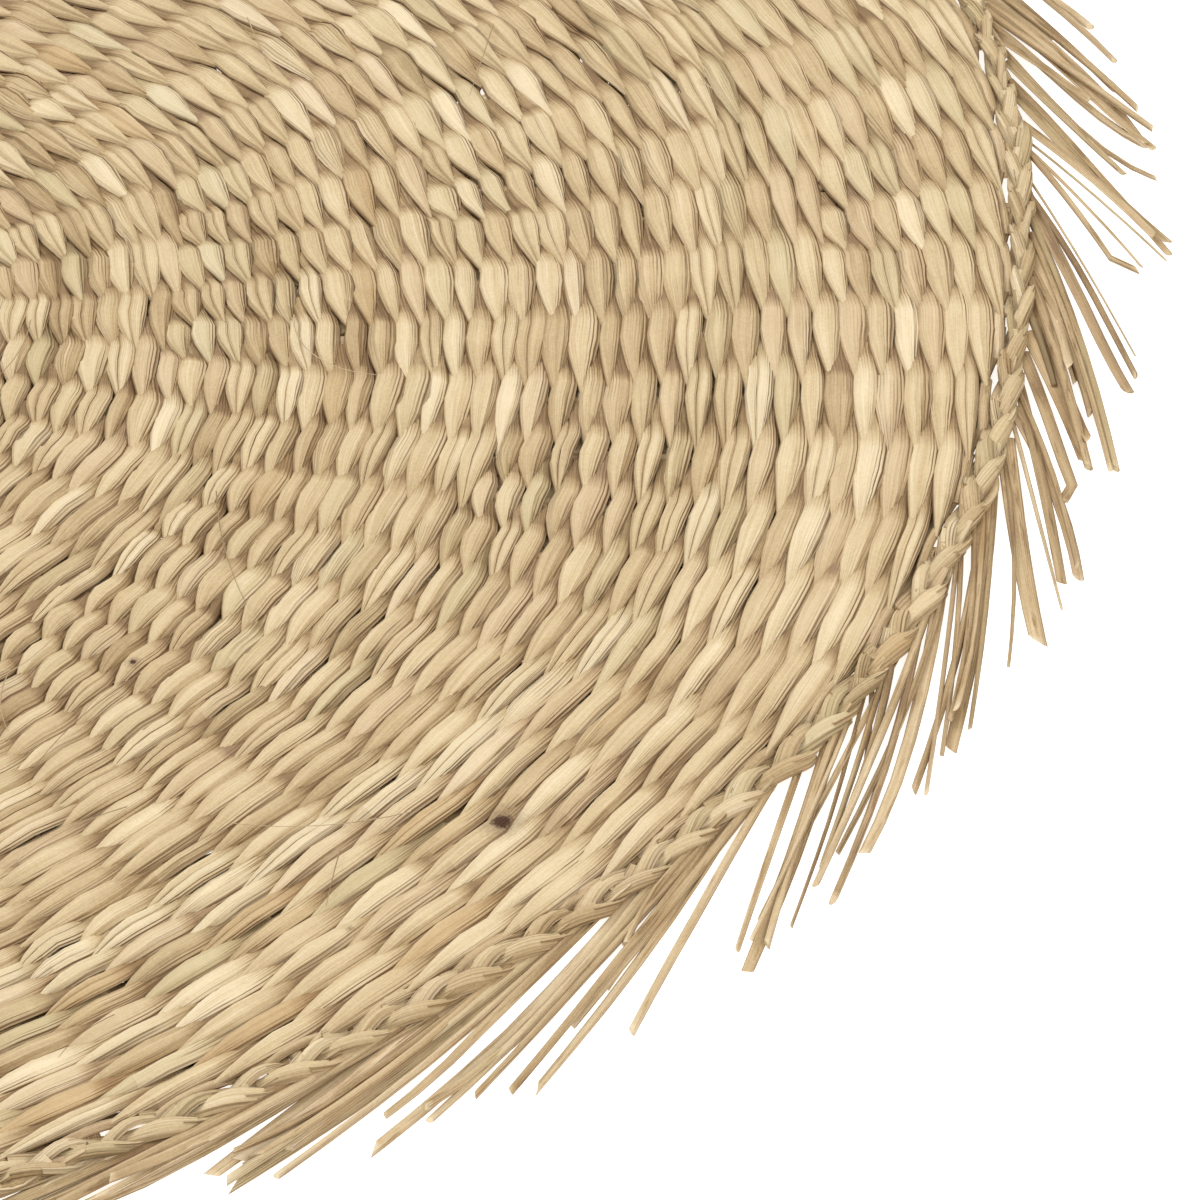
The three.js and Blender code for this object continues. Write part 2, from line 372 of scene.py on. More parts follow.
# Leaf blanks: a flat tape along X, modelled once, then bent on to the mat wherever it repeats.
# Each profile goes round the section from its right edge over the top: across, height.
print("leaf blanks")
leafProfiles = {
    "blade": [(1, -0.65), (0.74, 0.25), (0.25, 0.82), (-0.3, 0.9), (-0.76, 0.45), (-1, -0.55), (-0.45, -0.6),
              (0.45, -0.6)],
    "folded": [(1, -0.7), (0.8, -0.2), (0.74, 0.3), (0.58, 0.18), (0.5, 0.76), (0, 0.95), (-0.65, 0.6),
               (-1, -0.5), (0, -0.6)],
    "strip": [(1, -0.5), (0.55, 0.6), (-0.45, 0.75), (-1, -0.4), (-0.4, -0.6), (0.4, -0.6)],
    "pleated": [(1, -0.6), (0.7, 0.4), (0.6, 0.05), (0.3, 0.85), (0.2, 0.5), (-0.3, 0.9), (-0.4, 0.55),
                (-1, -0.5), (0, -0.6)],
    "under": [(1, 0), (0.5, 0.75), (-0.5, 0.75), (-1, 0), (-0.5, -0.45), (0.5, -0.45)],
    "stem": [(math.cos(a), math.sin(a)) for a in np.arange(8) * math.pi / 4],
    "channel": [(1, 0.55), (0.62, 0.62), (0.05, -0.15), (-0.62, 0.62), (-1, 0.55), (-0.6, -0.35), (0, -0.75),
                (0.6, -0.35)],
    "flat": [(1, 0), (0.5, 0.5), (0, 0.35), (-0.5, 0.5), (-1, 0), (-0.5, -0.5), (0, -0.35), (0.5, -0.5)],
}


def leafBlank(kind, stations):
    profile = leafProfiles[kind]
    bpy.ops.object.select_all(action="DESELECT")
    bpy.ops.mesh.primitive_cylinder_add(
        vertices=len(profile), radius=1, depth=2, end_fill_type="NGON", rotation=(0, math.pi / 2, 0))
    blank = bpy.context.object
    bpy.ops.object.transform_apply(rotation=True)
    bpy.ops.object.mode_set(mode="EDIT")
    for cut in range(1, stations - 1):
        bpy.ops.mesh.select_all(action="SELECT")
        bpy.ops.mesh.bisect(plane_co=(2 * cut / (stations - 1) - 1, 0, 0), plane_no=(1, 0, 0))
    bpy.ops.object.mode_set(mode="OBJECT")
    points = np.array([v.co for v in blank.data.vertices])
    angles = np.arctan2(points[:, 2], points[:, 1])
    step = 2 * math.pi / len(profile)
    spot = np.round((angles - angles.min()) / step).astype(int) % len(profile)
    shape = np.array(profile)[spot]
    found = {
        "station": np.round((points[:, 0] + 1) / 2 * (stations - 1)).astype(int),
        "across": shape[:, 0],
        "height": shape[:, 1],
        "loops": np.array([l.vertex_index for l in blank.data.loops]),
        "sizes": np.array([p.loop_total for p in blank.data.polygons]),
    }
    bpy.data.objects.remove(blank)
    return found


def bendBlanks(blank, centre, acrossWay, upWay, halfWidth, thickness, tint, alongScale=1.0):
    # one bent copy of the blank for each row of centre, which holds a point for each station
    s = blank["station"]
    points = (
        centre[:, s]
        + acrossWay[:, s] * (blank["across"] * halfWidth[:, s])[..., None]
        + upWay[:, s] * (blank["height"] * thickness[:, s])[..., None]
    )
    steps = np.linalg.norm(np.diff(centre, axis=1), axis=2)
    run = np.concatenate([np.zeros((len(centre), 1)), np.cumsum(steps, axis=1)], axis=1)
    mapAlong = run[:, s] / (10 * mm) * alongScale
    mapAcross = np.broadcast_to((blank["across"] + 1) / 2, mapAlong.shape)
    shades = np.repeat(tint[:, None, :], points.shape[1], axis=1) if tint.ndim == 2 else tint[:, s]
    return {"points": points, "map": np.stack([mapAlong, mapAcross], -1), "tint": shades, "blank": blank}


def joinCopies(name, batches, finish, smoothAngle=30):
    # all copies become one mesh of closed bodies, with their UV map and tint
    points, loops, sizes, maps, tints, start = [], [], [], [], [], 0
    for batch in batches:
        count, corners = batch["points"].shape[:2]
        offsets = start + np.arange(count)[:, None] * corners
        points.append(batch["points"].reshape(-1, 3))
        maps.append(batch["map"].reshape(-1, 2))
        tints.append(batch["tint"].reshape(-1, 4))
        loops.append((batch["blank"]["loops"][None] + offsets).ravel())
        sizes.append(np.tile(batch["blank"]["sizes"], count))
        start += count * corners
    points, loops, sizes = np.concatenate(points), np.concatenate(loops), np.concatenate(sizes)
    mesh = bpy.data.meshes.new(name)
    mesh.vertices.add(len(points))
    mesh.vertices.foreach_set("co", points.astype(np.float32).ravel())
    mesh.loops.add(len(loops))
    mesh.loops.foreach_set("vertex_index", loops.astype(np.int32))
    mesh.polygons.add(len(sizes))
    mesh.polygons.foreach_set("loop_start", np.concatenate([[0], np.cumsum(sizes)[:-1]]).astype(np.int32))
    mesh.update(calc_edges=True)
    uvs = mesh.uv_layers.new(name="leafMap")
    uvs.data.foreach_set("uv", np.concatenate(maps)[loops].astype(np.float32).ravel())
    shade = mesh.color_attributes.new("leafTint", "FLOAT_COLOR", "POINT")
    shade.data.foreach_set("color", np.concatenate(tints).astype(np.float32).ravel())
    mesh.materials.append(finish)
    mesh.validate()
    piece = bpy.data.objects.new(name, mesh)
    bpy.context.collection.objects.link(piece)
    bpy.ops.object.select_all(action="DESELECT")
    piece.select_set(True)
    bpy.context.view_layer.objects.active = piece
    bpy.ops.object.mode_set(mode="EDIT")
    bpy.ops.mesh.select_all(action="SELECT")
    bpy.ops.mesh.normals_make_consistent(inside=False)
    bpy.ops.object.mode_set(mode="OBJECT")
    bpy.ops.object.shade_smooth_by_angle(angle=math.radians(smoothAngle))
    print(name, len(points), "points", int((sizes - 2).sum()), "triangles")
    return piece


# Where the spokes stand in every row. New ones open up in the widest gaps as the mat grows.
print("weave layout")
spokeGrowth = {
    "share": [0.0, 0.03, 0.1, 0.2, 0.3, 0.4, 0.5, 0.6, 0.7, 0.8, 0.9, 1.0],
    "spokes": [6, 8, 16, 28, 38, 48, 58, 64, 70, 76, 80, 84],
    "settle": 0.3,  # how fast neighbours even out, each row
    "wander": 0.012,  # of the gap to the next spoke, each row
}


def layOutSpokes(rowCount):
    lastRow = matShape["rimRadius"] - matShape["lastRow"]
    shares = np.linspace(matShape["firstRow"] / lastRow, 1, rowCount)
    count = int(spokeGrowth["spokes"][0])
    bearings = list(-np.arange(count) * 2 * math.pi / count + 0.3)
    names = list(range(count))
    rows = []
    for share in shares:
        target = np.interp(share, spokeGrowth["share"], spokeGrowth["spokes"])
        while len(bearings) + 1 < target:
            for _ in range(2):  # two at a time, so that the two weft strands always alternate
                gaps = np.array(bearings) - np.append(bearings[1:], bearings[0] - 2 * math.pi)
                spot = int(np.argmax(gaps * (1 + 0.25 * rng.random(len(gaps)))))
                bearings.insert(spot + 1, bearings[spot] - gaps[spot] / 2)
                names.insert(spot + 1, len(names))
        spread = np.array(bearings)
        for _ in range(2):
            before = np.append(spread[-1] + 2 * math.pi, spread[:-1])
            after = np.append(spread[1:], spread[0] - 2 * math.pi)
            spread = spread + spokeGrowth["settle"] * ((before + after) / 2 - spread)
        gap = 2 * math.pi / len(spread)
        lean = math.tan(math.radians(matShape["spokeLean"])) * matShape["rowPitch"] / (share * lastRow)
        spread = spread + lean + spokeGrowth["wander"] * gap * rng.standard_normal(len(spread))
        bearings = list(spread)
        rows.append({"share": share, "bearings": spread, "names": list(names)})
    return rows


weaveSpan = matShape["rimRadius"] - matShape["lastRow"] - matShape["firstRow"]
weaveRows = layOutSpokes(int(round(weaveSpan / matShape["rowPitch"])) + 1)
stitchCount = sum(len(row["bearings"]) for row in weaveRows)
print(len(weaveRows), "rows,", stitchCount, "stitches on each face")
print(len(weaveRows[-1]["bearings"]), "spokes at the rim")


def rowRadius(row, bearing):
    # rows wander a little, each nearly as the one inside it
    waves = 0.3 * np.sin(3 * bearing + row["phase"]) + 0.16 * np.sin(8 * bearing - 1.7 * row["phase"])
    waves = waves + 0.05 * np.sin(17 * bearing + 5 * row["phase"])
    level = row["share"] * (rimReach(bearing) - matShape["lastRow"])
    return level + waves * matShape["rowPitch"] * row["calm"]


for index, row in enumerate(weaveRows):
    row["phase"] = 0.17 * index
    row["calm"] = min(1, (len(weaveRows) - 1 - index) / 10)


# Twined stitches: each leaf comes up inside the spoke, crosses it and goes down outside the next gap.
print("stitches")
stitchSet = {
    "topStations": [-0.98, -0.6, -0.48, -0.25, 0.06, 0.36, 0.64, 0.88],  # gaps from its spoke
    "underStations": [-0.95, -0.62, -0.3, 0.08, 0.5, 0.86],
    "bed": 0.2,  # of the rise, how low a leaf lies where it starts under the others
    "shortGap": (9 * mm, 13 * mm),  # between these gaps, stitches go from snug to long
    "snug": 0.84,
    "slant": 0.74,  # of the row pitch, from one gap to the next
    "tilt": -9,  # degrees on top of a spoke, with the outer edge up
    "rise": 1.08 * mm,  # from the spokes' middle to a leaf's middle on top of a spoke
    "overlap": {1: 1.21, -1: 1.12},  # of the room that a leaf has beside its neighbours, above and below
    "startWidth": {1: 0.88, -1: 0.7},  # of its full width, where it comes up under the others
    "spare": 0.12 * mm,  # added to half the width
    "thick": 0.6 * mm,
    "gapRoll": 9,  # degrees at the gap
    "kinds": {"blade": 0.35, "folded": 0.27, "strip": 0.21, "pleated": 0.17},
    "pleats": {"blade": 0.03, "folded": 0.12, "strip": 0.15, "pleated": 0.5},
    "leafRun": (2, 7),  # stitches made with one leaf
    "loose": {"slide": 0.02, "stretch": 0.03, "shift": 0.12 * mm, "lift": 0.1 * mm, "roll": 7},
    "smoothAngle": 20,
    "tone": 0.6,
    "toneSpread": 0.085,
    # painted shade: the mat is painted darker towards its middle, standing in for weaker light there
    "middleShade": 0.08,  # how much darker the mat is in its middle
    # some leaf starts are painted dark: partly a broken leaf end, partly painted shadow from the point lying
    # over it
    "darkEnds": 0.13,  # leaves that start with a dark broken end
    "paleLeaves": (0.12, 0.08),  # share of the leaves, and how much paler
    "brownLeaves": (0.1, 0.12),  # share of the leaves, and how much darker
    # painted shade and highlight along each leaf: darker where it comes up from under its neighbours (painted
    # shade, with some browning), palest on top of the spoke (painted highlight), a little darker at its point
    "shadeAt": [-0.6, -0.48, -0.25, 0.06, 0.88],  # gaps from its spoke
    "shade": [-0.45, -0.25, 0.02, 0.04, -0.02],
}
blanks = {kind: leafBlank(kind, len(stitchSet["topStations"])) for kind in stitchSet["kinds"]}
blanks["under"] = leafBlank("under", len(stitchSet["underStations"]))


def leafRuns(count):
    # tint, kind and width of the leaf in each stitch; every second stitch is the same strand
    low, high = stitchSet["leafRun"]
    kinds = list(stitchSet["kinds"])
    odds = np.array(list(stitchSet["kinds"].values()))
    tint = np.ones((count, 4))
    kind = np.zeros(count, int)
    width = np.ones(count)
    for strand in (0, 1):
        spot = strand
        while spot < count:
            stitches = rng.integers(low, high + 1)
            span = slice(spot, min(spot + 2 * stitches, count), 2)
            odd = rng.random()
            tone = rng.normal(stitchSet["tone"], stitchSet["toneSpread"])
            tone += stitchSet["paleLeaves"][1] if odd < stitchSet["paleLeaves"][0] else 0
            tone -= stitchSet["brownLeaves"][1] if odd > 1 - stitchSet["brownLeaves"][0] else 0
            tint[span, 0] = np.clip(tone, 0.25, 0.95)
            tint[span, 1] = rng.random()
            tint[span, 2] = rng.random()
            kind[span] = rng.choice(len(kinds), p=odds / odds.sum())
            width[span] = rng.normal(1.0, 0.1)
            tint[span, 3] = stitchSet["pleats"][kinds[kind[spot]]] + 0.16 * rng.random()
            spot += 2 * stitches
    tint[:, 0] += rng.normal(0, 0.035, count)
    tint[:, 2] = (tint[:, 2] + 0.37 * rng.random(count)) % 1
    return tint, kind, width


def stitchPaths(row, side, stations, width, loose):
    # side is 1 for the leaves on top of the spokes and -1 for those below
    bearings = row["bearings"]
    before = np.append(bearings[-1] + 2 * math.pi, bearings[:-1])
    after = np.append(bearings[1:], bearings[0] - 2 * math.pi)
    gaps = (before - after) / 2 * row["share"] * (matShape["rimRadius"] - matShape["lastRow"])
    snug = np.interp(gaps, stitchSet["shortGap"], [stitchSet["snug"], 1])[:, None]
    u = np.array(stations)[None, :] + 0 * snug
    s = u * loose["stretch"][:, None] * snug + loose["slide"][:, None]
    b = np.where(
        s < 0,
        bearings[:, None] + (before - bearings)[:, None] * -s,
        bearings[:, None] + (after - bearings)[:, None] * s,
    )
    pitch = matShape["rowPitch"]
    # a leaf and the next one share the width of a row between them: blunt start, long point
    blunt = 1 - snug
    startRoom = (np.abs(u) / 0.82) ** (1.5 + 4 * blunt)
    pointRoom = (np.abs(u) / 0.92) ** (1.2 + 2.5 * blunt)
    room = np.clip(1 - np.where(u < 0, startRoom, pointRoom), 0.02, 1)
    sway = side * np.sign(u) * (1 - room) * pitch * stitchSet["slant"]
    radius = rowRadius(row, b) + sway + loose["shift"][:, None]
    # it comes up from under its neighbours' points and keeps its own point on top of the next leaves
    lift = 1 - np.where(u < 0, 1.3 * (np.abs(u) / 0.8) ** 1.9, 0.62 * (np.abs(u) / 0.88) ** 2.2)
    lift = np.maximum(lift, stitchSet["bed"])
    risen = stitchSet["rise"] * lift + loose["lift"][:, None] * np.maximum(lift, 0)
    z = matShape["midHeight"] + side * risen
    centre = np.stack([radius * np.cos(b), radius * np.sin(b), z], -1)
    outward = np.stack([np.cos(b), np.sin(b), 0 * b], -1)
    upward = np.zeros_like(outward)
    upward[..., 2] = 1
    along = np.clip(2 * u, -1.5, 1.5)
    roll = np.radians(stitchSet["gapRoll"]) * np.sign(along) * np.abs(along) ** 1.8
    level = loose["roll"] + math.radians(stitchSet["tilt"])
    roll = (roll + level[:, None] * (1 - np.minimum(np.abs(along), 1)))[..., None]
    acrossWay = side * (outward * np.cos(roll) - upward * np.sin(roll))
    upWay = side * (upward * np.cos(roll) + outward * np.sin(roll))
    spread = np.where(u < 0, np.maximum(room, stitchSet["startWidth"][side]), room)
    halfWidth = pitch / 2 * stitchSet["overlap"][side] * spread * width[:, None] + stitchSet["spare"]
    thickness = stitchSet["thick"] * (0.55 + 0.45 * np.minimum(room * 2, 1))
    return centre, acrossWay, upWay, halfWidth, thickness


def shifted(parts, sideways, share, higher):
    centre, acrossWay, upWay, halfWidth, thickness = parts
    centre = centre + acrossWay * (sideways * halfWidth)[..., None] + upWay * (higher * thickness)[..., None]
    return centre, acrossWay, upWay, halfWidth * share, thickness


def shadeLeaf(tint, stations):
    # painted shade, with some browning, and more painted crease darkening where the leaf comes up from under
    # its neighbours; a painted highlight, palest on top of the spoke
    shades = np.repeat(tint[:, None, :], len(stations), axis=1)
    shades[..., 0] += np.interp(stations, stitchSet["shadeAt"], stitchSet["shade"])
    shades[..., 3] += np.interp(stations, [-0.8, -0.45, -0.2], [0.8, 0.4, 0])
    return shades


def twineRows(rows):
    top, under = [], []
    kinds = list(stitchSet["kinds"])
    for row in rows:
        count = len(row["bearings"])
        tint, kind, width = leafRuns(count)
        spread = stitchSet["loose"]
        loose = {
            "slide": rng.normal(0, spread["slide"], count),
            "stretch": rng.normal(1, spread["stretch"], count),
            "shift": rng.normal(0, spread["shift"], count),
            "lift": rng.normal(0, spread["lift"], count),
            "roll": np.radians(rng.normal(0, spread["roll"], count)),
        }
        parts = stitchPaths(row, 1, stitchSet["topStations"], width * rng.normal(1, 0.05, count), loose)
        shades = shadeLeaf(tint, stitchSet["topStations"])
        # painted shade: rows painted darker towards the middle of the mat
        shades[..., 0] -= stitchSet["middleShade"] * (1 - row["share"])
        # dark leaf starts: partly broken ends, partly painted shadow from the point lying over them
        shades[:, 2, 0] -= 0.35 * (rng.random(count) < stitchSet["darkEnds"])
        for number, name in enumerate(kinds):
            chosen = kind == number
            if not chosen.any():
                continue
            mine = tuple(part[chosen] for part in parts)
            if name == "strip":  # two strips side by side, one lapped over the other
                top.append(bendBlanks(blanks[name], *shifted(mine, -0.42, 0.58, 0.0), shades[chosen]))
                other = shades[chosen] + np.array([0.03, 0, 0.31, 0])
                top.append(bendBlanks(blanks[name], *shifted(mine, 0.4, 0.6, 0.18), other))
            else:
                top.append(bendBlanks(blanks[name], *mine, shades[chosen]))
        lower = {**loose, "lift": rng.normal(0, 0.05 * mm, count), "slide": -loose["slide"]}
        parts = stitchPaths(row, -1, stitchSet["underStations"], width, lower)
        under.append(bendBlanks(blanks["under"], *parts, shadeLeaf(tint, stitchSet["underStations"])))
    return top, under


bands = {
    "innerRows": (0, 24),
    "middleRows": (24, 34),
    "outerRows": (34, 43),
    "edgeRows": (43, len(weaveRows)),
}
weavePieces, underBatches = [], []
for name, (first, last) in bands.items():
    topBatches, lowerBatches = twineRows(weaveRows[first:last])
    underBatches += lowerBatches
    weavePieces.append(joinCopies(name, topBatches, leafFinish, stitchSet["smoothAngle"]))
underRows = joinCopies("underRows", underBatches, leafFinish)


# Spokes: a stalk from the row where it is let in out to the braid
print("spokes")
spokeSet = {"halfWidth": 1.15 * mm, "thick": 0.5 * mm, "pastLastRow": 3.2 * mm}


def standSpokes():
    routes = {}
    for row in weaveRows:
        for name, bearing in zip(row["names"], row["bearings"]):
            routes.setdefault(name, []).append((bearing, float(rowRadius(row, np.array(bearing)))))
    batches, made = [], {}
    for name, route in routes.items():
        lastBearing, lastRadius = route[-1]
        if name < spokeGrowth["spokes"][0]:  # the first ones meet in the middle
            route = [(route[0][0], 0.2 * mm)] + route
        route = route[::3] + [(lastBearing, lastRadius), (lastBearing, lastRadius + spokeSet["pastLastRow"])]
        stations = len(route)
        if stations not in made:
            made[stations] = leafBlank("stem", stations)
        b, radius = np.array(route).T
        centre = np.stack([radius * np.cos(b), radius * np.sin(b), 0 * b + matShape["midHeight"]], -1)[None]
        acrossWay = np.stack([-np.sin(b), np.cos(b), 0 * b], -1)[None]
        upWay = np.broadcast_to(np.array([0.0, 0.0, 1.0]), acrossWay.shape)
        width = np.full((1, stations), spokeSet["halfWidth"] * rng.normal(1, 0.1))
        thick = np.full((1, stations), spokeSet["thick"])
        tint = np.array([[rng.normal(0.45, 0.1), 0.6 + 0.4 * rng.random(), rng.random(), 1]])
        batches.append(bendBlanks(made[stations], centre, acrossWay, upWay, width, thick, tint))
    return joinCopies("spokes", batches, stalkFinish)


spokes = standSpokes()


# Knots: a short twist of leaf round each spoke, between the last row and the braid
print("knots")
knotSet = {
    "outOfLastRow": 2.15 * mm,
    "stations": [-0.42, -0.3, -0.16, 0, 0.16, 0.3, 0.42],  # gaps from its spoke
    "halfWidth": 0.8 * mm,
    "thick": 0.42 * mm,
    "rise": 0.85 * mm,
    "tone": 0.55,
    "toneSpread": 0.1,
    "pleats": 0.6,
}


def tieKnots():
    row = weaveRows[-1]
    bearings, count = row["bearings"], len(row["bearings"])
    gap = 2 * math.pi / count
    s = np.array(knotSet["stations"])[None, :] * rng.uniform(0.85, 1.1, count)[:, None]
    b = bearings[:, None] - gap * s
    radius = rowRadius(row, b) + knotSet["outOfLastRow"] + (s + rng.normal(0, 0.1, count)[:, None]) * 1.2 * mm
    arch = 1 - 1.5 * (np.abs(s) / 0.42) ** 2
    z = matShape["midHeight"] + knotSet["rise"] * arch
    centre = np.stack([radius * np.cos(b), radius * np.sin(b), z], -1)
    forward = np.gradient(centre, axis=1)
    forward /= np.linalg.norm(forward, axis=2, keepdims=True)
    outward = np.stack([np.cos(b), np.sin(b), 0 * b], -1)
    upWay = np.cross(forward, outward)
    upWay /= np.linalg.norm(upWay, axis=2, keepdims=True)
    acrossWay = np.cross(upWay, forward)
    width = knotSet["halfWidth"] * rng.uniform(0.75, 1.3, count)[:, None] * np.ones_like(s)
    tone = rng.normal(knotSet["tone"], knotSet["toneSpread"], count)
    warmth = rng.uniform(0.5, 1, count)
    tint = np.stack([tone, warmth, rng.random(count), knotSet["pleats"] + 0 * bearings], -1)
    blank = leafBlank("blade", s.shape[1])
    batch = bendBlanks(blank, centre, acrossWay, upWay, width, knotSet["thick"] + 0 * s, tint)
    return joinCopies("knots", [batch], stalkFinish)


knots = tieKnots()


# Braid: three strands plaited round the edge, laid as overlapping leaves
print("braid")
braidSet = {
    "plaits": 45,  # full turns of one strand round the rim
    "swing": 1.45 * mm,  # of a strand to each side of the middle
    "rise": 0.85 * mm,
    "height": 2.05 * mm,  # of the braid's middle above the table
    "halfWidth": 1.25 * mm,
    "thick": 0.6 * mm,
    "stations": 8,
    "slip": 0.1,  # of a strand along the plait, in radians of its own swing
    "stray": 0.22 * mm,  # of a strand to either side
    "widthSpread": 0.2,
    "tone": 0.62,
    "toneSpread": 0.1,
    "kinds": {"blade": 0.45, "folded": 0.25, "pleated": 0.3},
    "smoothAngle": 22,
}


def plaitRim():
    braidBlanks = {kind: leafBlank(kind, braidSet["stations"]) for kind in braidSet["kinds"]}
    batches = []
    for strand in range(3):
        for side in (1, -1):
            # a strand passes over the others on its way in from each side, and under them on its way out
            crossings = np.arange(2 * braidSet["plaits"])
            middle = math.pi * crossings + (math.pi * 0.75 if side == 1 else math.pi * 0.25)
            reach = math.pi * 0.36
            theta = middle[:, None] + np.linspace(-reach, reach, braidSet["stations"])[None, :]
            theta = theta + rng.normal(0, braidSet["slip"], len(crossings))[:, None]
            b = -(theta + strand * 2 * math.pi / 3) / braidSet["plaits"]
            snug = braidScale(b)
            sideways = braidSet["swing"] * snug * np.sin(theta)
            z = braidSet["height"] - braidSet["rise"] * np.sin(2 * theta)
            radius = rimReach(b) + sideways + rng.normal(0, braidSet["stray"], len(crossings))[:, None]
            centre = np.stack([radius * np.cos(b), radius * np.sin(b), z], -1)
            outward = np.stack([np.cos(b), np.sin(b), 0 * b], -1)
            upward = np.zeros_like(outward)
            upward[..., 2] = 1
            forward = np.gradient(centre, axis=1)
            forward /= np.linalg.norm(forward, axis=2, keepdims=True)
            tilt = 0.5 * np.sin(theta)[..., None]
            upWay = side * (upward * np.cos(tilt) + outward * np.sin(tilt) * side)
            acrossWay = np.cross(upWay, forward)
            acrossWay /= np.linalg.norm(acrossWay, axis=2, keepdims=True)
            ends = np.abs(np.linspace(-1, 1, braidSet["stations"])) ** 2
            width = braidSet["halfWidth"] * snug * (1 - 0.3 * ends)[None, :]
            odd = rng.normal(1, braidSet["widthSpread"], len(crossings))
            width = width * np.clip(odd, 0.6, 1.35)[:, None]
            thick = braidSet["thick"] * np.ones_like(width)
            tint = rng.random((len(crossings), 4))
            tint[:, 0] = rng.normal(braidSet["tone"], braidSet["toneSpread"], len(crossings))
            kind = rng.choice(len(braidBlanks), len(crossings), p=list(braidSet["kinds"].values()))
            for number, name in enumerate(braidBlanks):
                chosen = kind == number
                parts = (centre, acrossWay, upWay, width, thick)
                batches.append(bendBlanks(braidBlanks[name], *(part[chosen] for part in parts), tint[chosen]))
    return joinCopies("rimBraid", batches, braidFinish, braidSet["smoothAngle"])


rimBraid = plaitRim()


# Fringe: spoke ends swept clockwise from under the braid, in bundles that lie the same way
print("fringe")
fringeSet = {
    "strands": 370,
    "perBundle": 4,
    "stations": [0, 0.1, 0.22, 0.38, 0.54, 0.7, 0.86, 0.975, 1],  # shares of a strand's length
    "rootOut": 1.2 * mm,  # from the middle of the braid
    "rootHeight": 1.6 * mm,
    "straight": 0.6,  # 0 keeps its lean to the rim, 1 is a straight line
    "longest": 54 * mm,
    "tone": 0.57,
    "toneSpread": 0.12,
    "nodes": 0.1,  # share of the stations with a brown node
    "kinked": 0.03,  # share of the strands with a kink near the end
    "shortOnes": (0.2, 0.35, 0.8),  # share of the strands, and their least and greatest reach
    "turnedUp": 14 * mm,  # how fast one strand in four rises near its end
    # painted shade at the root, where the strand comes out from under the braid; the pale cut end is the
    # strand's own pith
    "shadeAt": [0, 0.15, 0.4, 0.97, 1],
    "shade": [-0.24, -0.12, 0, 0.02, 0.3],  # dark root, pale cut
    "kinds": {
        "flat": {"odds": 0.28, "halfWidth": 1.2 * mm, "thick": 0.28 * mm},
        "channel": {"odds": 0.28, "halfWidth": 0.82 * mm, "thick": 0.45 * mm},
        "stem": {"odds": 0.34, "halfWidth": 0.62 * mm, "thick": 0.58 * mm},
        "split": {"odds": 0.1, "halfWidth": 0.38 * mm, "thick": 0.3 * mm},
    },
}


def cutEnds(batch, forward, slant):
    # shears the far end of each strand, as scissors leave it
    blank = batch["blank"]
    end = blank["station"] == blank["station"].max()
    batch["points"][:, end] += forward[:, None, :] * (blank["across"][end] * slant[:, None])[..., None]
    return batch


